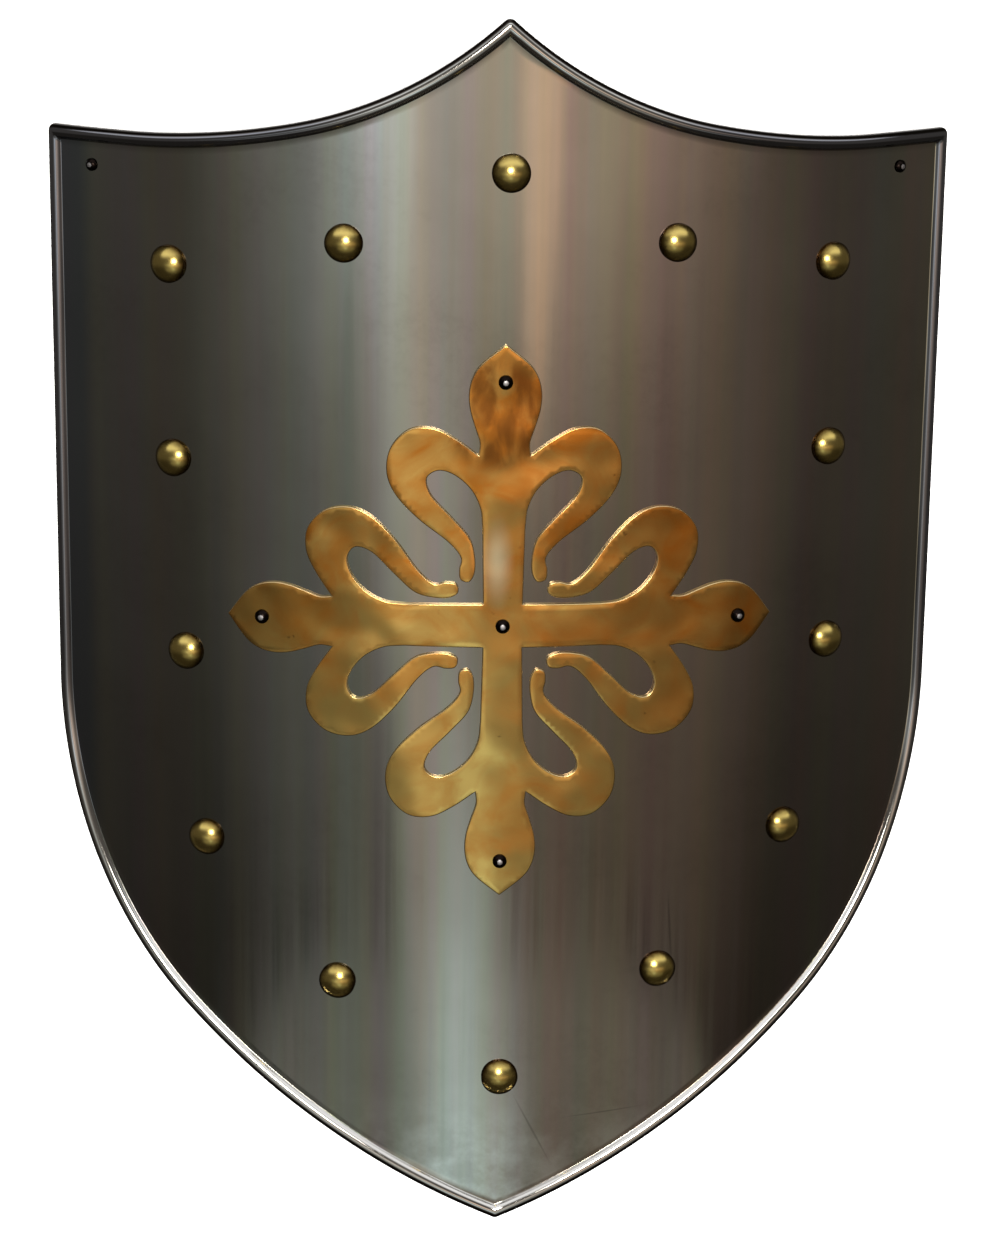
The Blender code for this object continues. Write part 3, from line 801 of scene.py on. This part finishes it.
# The outer side of the bead is painted dark, and wider low down: painted shade.
painted_shade_side = add_node(tree, 'ShaderNodeMath', {
    0: low_rim.outputs[0], 1: -0.30, 2: roll}, operation='MULTIPLY_ADD')
rolled = cover(tree, aged_and_painted_reflection, rim_colour, roll, 3.05, 2.85, kind='LINEAR')
rolled = cover(tree, rolled, hex_colour("#35302b"), painted_shade_side.outputs[0], 1.20, 0.90)
rough = add_node(tree, 'ShaderNodeMapRange', {
    "Value": streaks.outputs[0], "From Min": 0.3, "From Max": 0.7, "To Min": 0.07, "To Max": 0.13})
grain = add_node(tree, 'ShaderNodeBump', {
    "Height": streaks.outputs[0], "Strength": 0.02, "Distance": 0.05 * MM})
shader.inputs["Metallic"].default_value = 1.0
tree.links.new(rolled, shader.inputs["Base Color"])
tree.links.new(rough.outputs[0], shader.inputs["Roughness"])
tree.links.new(grain.outputs[0], shader.inputs["Normal"])
dress([plate], steel)

# %% [markdown]
# Rolled sheet brass, about two parts copper to one of zinc, half polished.  Handling has left brown
# and orange stains, strongest on the upper petal, and a few dark specks.  A pale patch on the upper
# arm is painted reflection.  The filed edges are rougher than the face and painted paler: partly
# fresh filed brass, partly painted highlight.

# %% Sheet brass
STAIN_SIZE = 26.0 * MM
RUN_ACROSS = 11.0 * MM
RUN_ALONG = 24.0 * MM
SPECK_SIZE = 7.0 * MM
DENT_SIZE = 34.0 * MM

brass, tree, shader, place = start_material("rolled_sheet_brass")
sides = add_node(tree, 'ShaderNodeSeparateXYZ', {"Vector": place})
stains = add_node(tree, 'ShaderNodeTexNoise', {
    "Vector": place, "Scale": 1.0 / STAIN_SIZE, "Detail": 4.0, "Roughness": 0.55, "Distortion": 0.8})
high = add_node(tree, 'ShaderNodeMapRange', {
    "Value": sides.outputs["Y"], "From Min": -60.0 * MM, "From Max": 110.0 * MM,
    "To Min": -0.10, "To Max": 0.14})
stained = add_node(tree, 'ShaderNodeMath', {0: stains.outputs[0], 1: high.outputs[0]}, operation='ADD')
gold = cover(tree, hex_colour("#eec975"), hex_colour("#de8f38"), stained.outputs[0],
             0.30, 0.74, kind='LINEAR')
from_petal = add_node(tree, 'ShaderNodeVectorMath', {
    0: place, 1: (-5.0 * MM, 120.0 * MM, CROWN_HEIGHT)}, operation='DISTANCE')
petal = add_node(tree, 'ShaderNodeMapRange', {
    "Value": from_petal.outputs["Value"], "From Min": 33.0 * MM, "From Max": 21.0 * MM},
    interpolation_type='SMOOTHSTEP')
flow = add_node(tree, 'ShaderNodeMapping', {
    "Vector": place, "Scale": (1.0 / RUN_ACROSS, 1.0 / RUN_ALONG, 0.0)})
runs_down = add_node(tree, 'ShaderNodeTexNoise', {
    "Vector": flow.outputs[0], "Scale": 1.0, "Detail": 3.0, "Distortion": 0.4})
run_share = add_node(tree, 'ShaderNodeMapRange', {
    "Value": runs_down.outputs[0], "From Min": 0.30, "From Max": 0.62, "To Max": 1.0},
    interpolation_type='SMOOTHSTEP')
browned = add_node(tree, 'ShaderNodeMath', {0: petal.outputs[0], 1: run_share.outputs[0]},
                   operation='MULTIPLY')
wear_and_painted_light = cover(tree, gold, hex_colour("#a2682e"), browned.outputs[0], 0.0, 1.0, kind='LINEAR')
# A pale patch on the upper arm: painted reflection.
middle = (-3.0 * MM, 44.0 * MM, CROWN_HEIGHT)
from_pale = reach_of_ellipse(tree, place, middle, 0.0, 6.0 * MM, 18.0 * MM)
wear_and_painted_light = cover(tree, wear_and_painted_light, hex_colour("#fff0c8"), from_pale, 1.6, 0.0, 0.9)
specks = add_node(tree, 'ShaderNodeTexNoise', {
    "Vector": place, "Scale": 1.0 / SPECK_SIZE, "Detail": 3.0, "Roughness": 0.6})
wear_and_painted_light = cover(tree, wear_and_painted_light, hex_colour("#7a4e24"), specks.outputs[0], 0.70, 0.76, 0.5, 'LINEAR')
# Filed edges painted paler: partly fresh filed brass, partly painted highlight.
edge = add_node(tree, 'ShaderNodeAttribute', attribute_name="filed_edge").outputs["Fac"]
filed_and_highlight_share = add_node(tree, 'ShaderNodeMapRange', {
    "Value": edge, "From Min": 0.05, "From Max": 0.3, "To Min": 0.0, "To Max": 0.75})
filed = add_node(tree, 'ShaderNodeMix', {
    "Factor": filed_and_highlight_share.outputs[0], 6: wear_and_painted_light, 7: hex_colour("#f0dcae")},
    data_type='RGBA')
rough = add_node(tree, 'ShaderNodeMapRange', {
    "Value": stains.outputs[0], "From Min": 0.3, "From Max": 0.7, "To Min": 0.14, "To Max": 0.24})
edge_rough = add_node(tree, 'ShaderNodeMix', {
    "Factor": filed_and_highlight_share.outputs[0], 2: rough.outputs[0], 3: 0.42}, data_type='FLOAT')
uneven = add_node(tree, 'ShaderNodeTexNoise', {
    "Vector": place, "Scale": 1.0 / DENT_SIZE, "Detail": 1.0})
dents = add_node(tree, 'ShaderNodeBump', {
    "Height": uneven.outputs[0], "Strength": 1.0, "Distance": 1.6 * MM})
shader.inputs["Metallic"].default_value = 1.0
tree.links.new(filed.outputs[2], shader.inputs["Base Color"])
tree.links.new(edge_rough.outputs[0], shader.inputs["Roughness"])
tree.links.new(dents.outputs[0], shader.inputs["Normal"])
dress([cross], brass)

# %% [markdown]
# The nail heads are pressed brass with an olive tone of age.  The dark ring round the foot, painted
# shade with some dirt, comes from the distance kept on each point.

# %% Aged nail brass
NAIL_SPECK = 2.5 * MM

nail_brass, tree, shader, place = start_material("aged_pressed_brass")
edge = add_node(tree, 'ShaderNodeAttribute', attribute_name="edge").outputs["Fac"]
specks = add_node(tree, 'ShaderNodeTexNoise', {
    "Vector": place, "Scale": 1.0 / NAIL_SPECK, "Detail": 4.0, "Roughness": 0.6})
# Darker ring round the foot: painted shade with some dirt.
uneven = add_node(tree, 'ShaderNodeMath', {
    0: specks.outputs[0], 1: 0.16, 2: edge}, operation='MULTIPLY_ADD')
wear_and_painted_light = cover(tree, hex_colour("#dcc474"), hex_colour("#46300f"), uneven.outputs[0], 0.68, 1.10)
shader.inputs["Metallic"].default_value = 1.0
shader.inputs["Roughness"].default_value = 0.25
tree.links.new(wear_and_painted_light, shader.inputs["Base Color"])
dress(nails, nail_brass)

# %% [markdown]
# Steel blackened over a fire and oiled.  A small grey spot on the crown of each rivet, in a black
# ring, is painted highlight.

# %% Blackened rivets
BLOOM_SIZE = 1.5 * MM

black, tree, shader, place = start_material("oil_blackened_steel")
bloom = add_node(tree, 'ShaderNodeTexNoise', {
    "Vector": place, "Scale": 1.0 / BLOOM_SIZE, "Detail": 3.0, "Roughness": 0.6})
edge = add_node(tree, 'ShaderNodeAttribute', attribute_name="edge").outputs["Fac"]
# Grey spot on the crown: painted highlight.
uneven = add_node(tree, 'ShaderNodeMath', {
    0: bloom.outputs[0], 1: 0.15, 2: edge}, operation='MULTIPLY_ADD')
black_beyond_painted_highlight = add_node(tree, 'ShaderNodeMapRange', {
    "Value": uneven.outputs[0], "From Min": 0.36, "From Max": 0.52}, interpolation_type='SMOOTHSTEP')
black_with_painted_highlight = add_node(tree, 'ShaderNodeMix', {
    "Factor": black_beyond_painted_highlight.outputs[0], 6: hex_colour("#c4c2c6"), 7: hex_colour("#1c1614")},
    data_type='RGBA')
rough = add_node(tree, 'ShaderNodeMapRange', {
    "Value": black_beyond_painted_highlight.outputs[0], "To Min": 0.50, "To Max": 0.30})
shader.inputs["Metallic"].default_value = 1.0
tree.links.new(black_with_painted_highlight.outputs[2], shader.inputs["Base Color"])
tree.links.new(rough.outputs[0], shader.inputs["Roughness"])
dress(rivets, black)

# %% [markdown]
# A polished sheet shows its surroundings more than its own colour.  The studio is therefore made of
# soft patches of light overhead, in a dark brown room.  A patch is an ellipse in the plane of slopes:
# how far a direction leans to the right and towards the peak for one step up.  Each patch has half
# its brightness on the ellipse; softness says how slowly it fades across that line.  The soft patches
# have ragged edges, as light off crumpled foil has, and the hard ones keep a clean line.  Dark cards,
# which photographers call flags, keep part of the light off two narrow strips.

# %% Studio light patches
RAGGED = 0.14
HARD_EDGE = 0.1
ROOM_DARK = (0.030, 0.026, 0.021, 1.0)
ROOM_LIGHT = (0.090, 0.081, 0.070, 1.0)
PATCHES = (
    # right, up, half width, half length, turn, softness, colour, strength
    (-0.36, -0.25, 0.52, 0.24, 0.0, 0.8, "#f4f8ec", 0.120),
    (0.44, -0.26, 0.66, 0.28, 0.0, 0.8, "#ffe0c4", 0.116),
    (-0.30, -0.10, 0.50, 0.11, 0.0, 1.0, "#eef5f0", 0.290),
    (0.36, -0.10, 0.50, 0.11, 0.0, 1.0, "#ffe0c4", 0.380),
    (-0.16, -0.29, 0.08, 0.24, 47.0, 1.0, "#f9f5ec", 0.350),
    (-0.04, -0.48, 0.13, 0.09, -5.0, 0.9, "#c6e8ee", 0.640),
    (0.15, -0.145, 0.05, 0.09, 0.0, 0.3, "#ffbf94", 0.480),
    (-0.33, -0.155, 0.12, 0.035, 0.0, 1.0, "#dcecff", 0.460),
    (0.0, -0.70, 0.94, 0.30, 0.0, 0.01, "#f3f5ea", 0.150),
    (-0.45, -0.62, 0.50, 0.13, 0.0, 0.3, "#fff3e4", 0.060),
    (0.0, 10.7, 7.0, 10.0, 0.0, 0.03, "#ffffff", 0.950),
)
FLAGS = (
    # the same shape, and the share of light that the card takes away
    (0.62, -0.468, 0.20, 0.012, -16.6, 0.8, 0.60),
    (-0.68, -0.484, 0.16, 0.010, 19.4, 0.8, 0.40),
)

# %% [markdown]
# The sky adds up the patches, one soft ellipse after another, and then the cards take their share away.
# The camera itself sees plain near-white behind the shield, as in the photograph.

# %% Build the sky
world = bpy.data.worlds.new("studio")
bpy.context.scene.world = world
world.use_nodes = True
tree = world.node_tree
sky = tree.nodes["Background"]
way = add_node(tree, 'ShaderNodeTexCoord').outputs["Generated"]
parts = add_node(tree, 'ShaderNodeSeparateXYZ', {"Vector": way})
level = add_node(tree, 'ShaderNodeMath', {0: parts.outputs["Z"], 1: 0.05}, operation='MAXIMUM')
slopes = [add_node(tree, 'ShaderNodeMath', {0: parts.outputs[axis], 1: level.outputs[0]},
                   operation='DIVIDE').outputs[0] for axis in "XY"]
clean_lean = add_node(tree, 'ShaderNodeCombineXYZ', {"X": slopes[0], "Y": slopes[1]}).outputs[0]
ragged = add_node(tree, 'ShaderNodeTexNoise', {
    "Vector": way, "Scale": 9.0, "Detail": 5.0, "Roughness": 0.62}).outputs["Color"]
lean = add_node(tree, 'ShaderNodeVectorMath', {
    0: ragged, 1: (RAGGED, RAGGED, 0.0), 2: clean_lean}, operation='MULTIPLY_ADD').outputs[0]
lean = add_node(tree, 'ShaderNodeVectorMath', {
    0: lean, 1: (0.5 * RAGGED, 0.5 * RAGGED, 0.0)}, operation='SUBTRACT').outputs[0]
light = cover(tree, ROOM_DARK, ROOM_LIGHT, parts.outputs["Y"], -0.38, -0.15, kind='LINEAR')


def ellipse_fade(lean, right, up, wide, long, turn, softness):
    """One inside a soft ellipse of slopes and zero outside, with an S-shaped step between."""
    reach = reach_of_ellipse(tree, lean, (right, up, 0.0), turn, wide, long)
    return add_node(tree, 'ShaderNodeMapRange', {
        "Value": reach, "From Min": 1.0 + softness, "From Max": 1.0 - softness},
        interpolation_type='SMOOTHSTEP').outputs[0]


for *shape, colour, strength in PATCHES:
    softness = shape[-1]
    tint = [strength * part for part in hex_colour(colour)[:3]]
    fade = ellipse_fade(clean_lean if softness < HARD_EDGE else lean, *shape)
    glow = add_node(tree, 'ShaderNodeVectorMath', {0: tint, "Scale": fade}, operation='SCALE')
    light = add_node(tree, 'ShaderNodeVectorMath', {
        0: light, 1: glow.outputs[0]}, operation='ADD').outputs[0]
for *shape, depth in FLAGS:
    passed = add_node(tree, 'ShaderNodeMath', {
        0: ellipse_fade(clean_lean, *shape), 1: -depth, 2: 1.0}, operation='MULTIPLY_ADD')
    light = add_node(tree, 'ShaderNodeVectorMath', {
        0: light, "Scale": passed.outputs[0]}, operation='SCALE').outputs[0]
seen = add_node(tree, 'ShaderNodeLightPath').outputs["Is Camera Ray"]
shown = add_node(tree, 'ShaderNodeMix', {
    "Factor": seen, 6: light, 7: hex_colour("#f4f4f2")}, data_type='RGBA')
tree.links.new(shown.outputs[2], sky.inputs["Color"])
print("patches of light:", len(PATCHES), "and dark cards:", len(FLAGS))

# %% [markdown]
# One soft lamp stands just above the camera and puts the bright spot on every nail and the bright line
# on the rolled edge.  A wide lamp lights only the floor; metal doesn't mirror it.

# %% Lamps
def add_panel(name, place, target, size, power, colour, on_metal=True):
    """A square soft light that faces a target; with on_metal off, metal doesn't mirror it."""
    lamp = bpy.data.lights.new(name, 'AREA')
    lamp.shape = 'SQUARE'
    lamp.size = size
    lamp.energy = power
    lamp.color = hex_colour(colour)[:3]
    panel = bpy.data.objects.new(name, lamp)
    panel.location = place
    panel.rotation_euler = (Vector(target) - Vector(place)).to_track_quat('-Z', 'Y').to_euler()
    panel.visible_camera = False
    panel.visible_glossy = on_metal
    bpy.context.scene.collection.objects.link(panel)
    return panel


add_panel("floor_light", (0.0, 0.0, 3.0), (0.0, 0.0, 0.0), 3.0, 330.0, "#ffffff", on_metal=False)
add_panel("key_light", (-0.10, 0.66, 2.0), (0.0, 0.0, 0.05), 0.60, 20.0, "#fff8ec")

# %% [markdown]
# The shield lies on a sheet of pale paper, far wider than the picture shows.  The metal does not mirror
# it: in the photograph the shield looks cut out, and no white floor shows in its sides.

# %% Floor
FLOOR_HALF = 6.0

floor_mesh = bpy.data.meshes.new("studio_floor")
work = bmesh.new()
bmesh.ops.create_grid(work, x_segments=1, y_segments=1, size=FLOOR_HALF)
work.to_mesh(floor_mesh)
work.free()
floor = bpy.data.objects.new("studio_floor", floor_mesh)
bpy.context.scene.collection.objects.link(floor)
floor.visible_glossy = False
paper, tree, shader, place = start_material("pale_studio_floor")
fibre = add_node(tree, 'ShaderNodeTexNoise', {"Vector": place, "Scale": 40.0, "Detail": 2.0})
pale = add_node(tree, 'ShaderNodeMix', {
    "Factor": fibre.outputs[0], 6: hex_colour("#f3f3f2"), 7: hex_colour("#f8f8f7")}, data_type='RGBA')
tree.links.new(pale.outputs[2], shader.inputs["Base Color"])
shader.inputs["Roughness"].default_value = 0.9
dress([floor], paper)

# %% [markdown]
# The camera stands a little beyond the peak and to the left, and looks down on the shield's face.
# Its distance and lens come from how the curved sides are foreshortened in the photograph.

# %% Camera
CAMERA_TURN = (-16.308, -3.009, 0.711)
CAMERA_DISTANCE = 1.8105
CAMERA_TARGET = Vector((-0.00126, 0.0149, CROWN_HEIGHT))
FOCAL_PIXELS = 3621.0
IMAGE_HEIGHT = 1236
SENSOR = 36.0

camera_data = bpy.data.cameras.new("camera")
camera_data.sensor_width = SENSOR
camera_data.lens = FOCAL_PIXELS * SENSOR / IMAGE_HEIGHT
camera = bpy.data.objects.new("camera", camera_data)
camera.rotation_euler = [math.radians(turn) for turn in CAMERA_TURN]
backwards = camera.rotation_euler.to_matrix() @ Vector((0.0, 0.0, 1.0))
camera.location = CAMERA_TARGET + CAMERA_DISTANCE * backwards
bpy.context.scene.collection.objects.link(camera)
bpy.context.scene.camera = camera
bpy.context.scene.view_settings.view_transform = 'Standard'
print("camera stands at", [round(value, 3) for value in camera.location])
